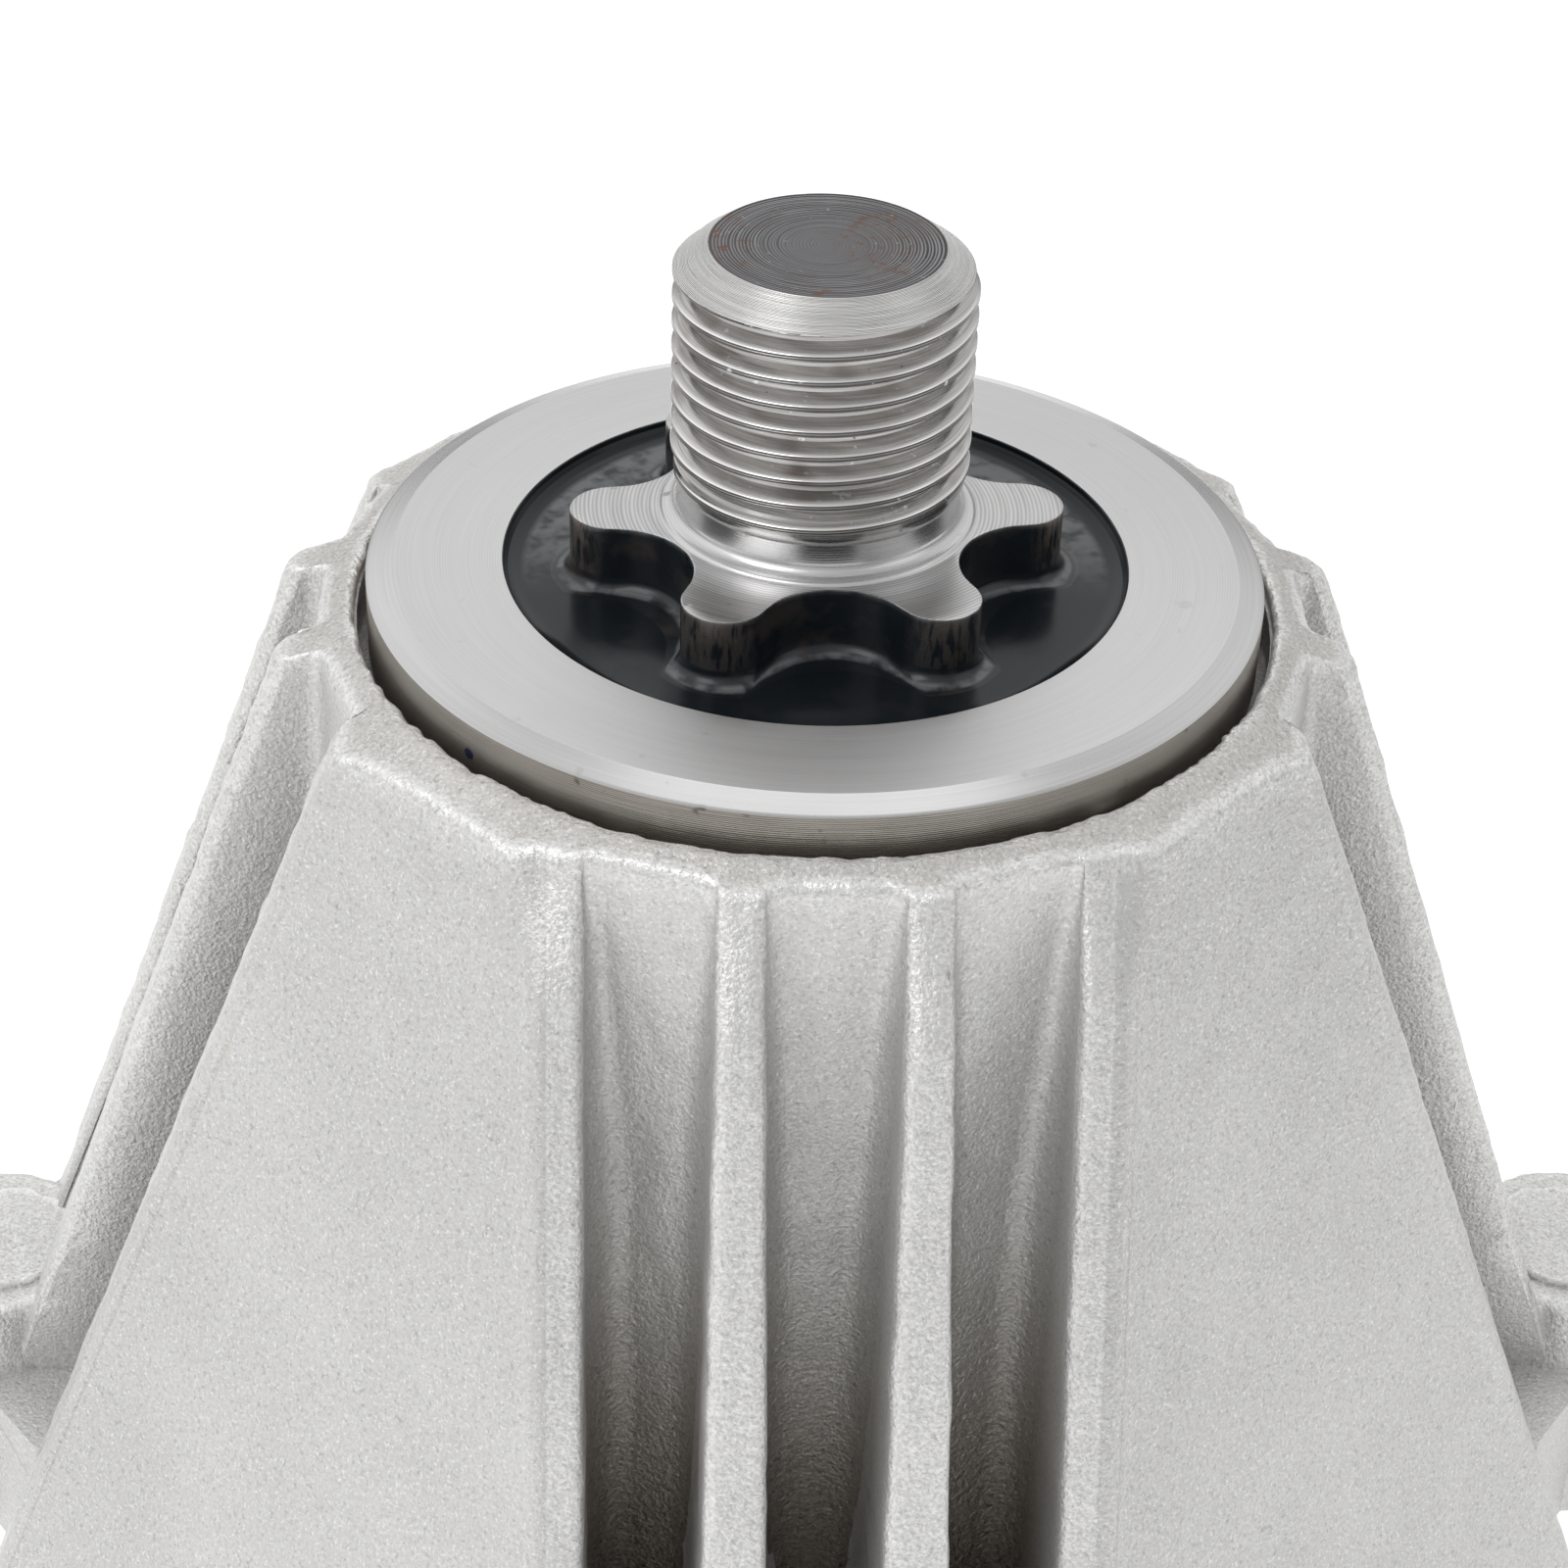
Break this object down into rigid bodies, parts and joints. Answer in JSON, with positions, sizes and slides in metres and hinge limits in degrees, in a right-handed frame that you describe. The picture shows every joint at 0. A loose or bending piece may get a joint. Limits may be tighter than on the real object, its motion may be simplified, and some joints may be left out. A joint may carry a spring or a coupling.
{
  "type": "mower deck spindle",
  "caption": "Ribbed die-cast bearing housing with mounting ears, carrying a flanged spindle shaft with a star drive and threaded stud for a mower blade.",
  "frame": {"origin": "centre of the deck mounting face, on the shaft axis, midway between the four ear bolt holes", "axes": "+Z along the shaft towards the blade end, shown up in the picture; +X and +Y through the ears; the camera stands in front, near -Y"},
  "size_m": [0.1144, 0.1144, 0.1339],
  "materials": {
    "cast_aluminium": "sand-grained as-cast skin",
    "forged_steel": "turned bright faces, dark phosphate on the as-forged star",
    "bearing_steel": "ground",
    "ball_steel": "polished",
    "cage_steel": "pressed sheet",
    "seal_rubber": "moulded",
    "tube_steel": "drawn tube",
    "spring_steel": "phosphated",
    "plated_sheet": "zinc plated",
    "plated_steel": "zinc plated"
  },
  "bodies": {
    "housing_body": {"housing": "cast_aluminium", "retaining_ring": "spring_steel", "blade_bearing_outer_race": "bearing_steel", "blade_bearing_seal_upper": "seal_rubber", "blade_bearing_seal_lower": "seal_rubber", "drive_bearing_outer_race": "bearing_steel", "drive_bearing_seal_upper": "seal_rubber", "drive_bearing_seal_lower": "seal_rubber"},
    "shaft_body": {"spindle_shaft": "forged_steel", "spacer_tube": "tube_steel", "slinger": "plated_sheet", "drive_washer": "plated_steel", "drive_nut": "plated_steel", "blade_bearing_inner_race": "bearing_steel", "drive_bearing_inner_race": "bearing_steel"},
    "blade_cage_body": {"blade_bearing_balls": "ball_steel", "blade_bearing_cage_upper": "cage_steel", "blade_bearing_cage_lower": "cage_steel", "blade_bearing_cage_rivets": "cage_steel"},
    "drive_cage_body": {"drive_bearing_balls": "ball_steel", "drive_bearing_cage_upper": "cage_steel", "drive_bearing_cage_lower": "cage_steel", "drive_bearing_cage_rivets": "cage_steel"}
  },
  "joints": [
    {"name": "shaft_spin", "type": "hinge", "parent": "housing_body", "child": "shaft_body", "pos_m": [0, 0, 0], "axis": [0, 0, 1], "continuous": true},
    {"name": "blade_cage_spin", "type": "hinge", "parent": "housing_body", "child": "blade_cage_body", "pos_m": [0, 0, 0.05], "axis": [0, 0, 1], "continuous": true},
    {"name": "drive_cage_spin", "type": "hinge", "parent": "housing_body", "child": "drive_cage_body", "pos_m": [0, 0, -0.004], "axis": [0, 0, 1], "continuous": true}
  ],
  "couplings": [
    {"joint": "blade_cage_spin", "follows": "shaft_spin", "ratio": 0.3815},
    {"joint": "drive_cage_spin", "follows": "shaft_spin", "ratio": 0.3815}
  ]
}
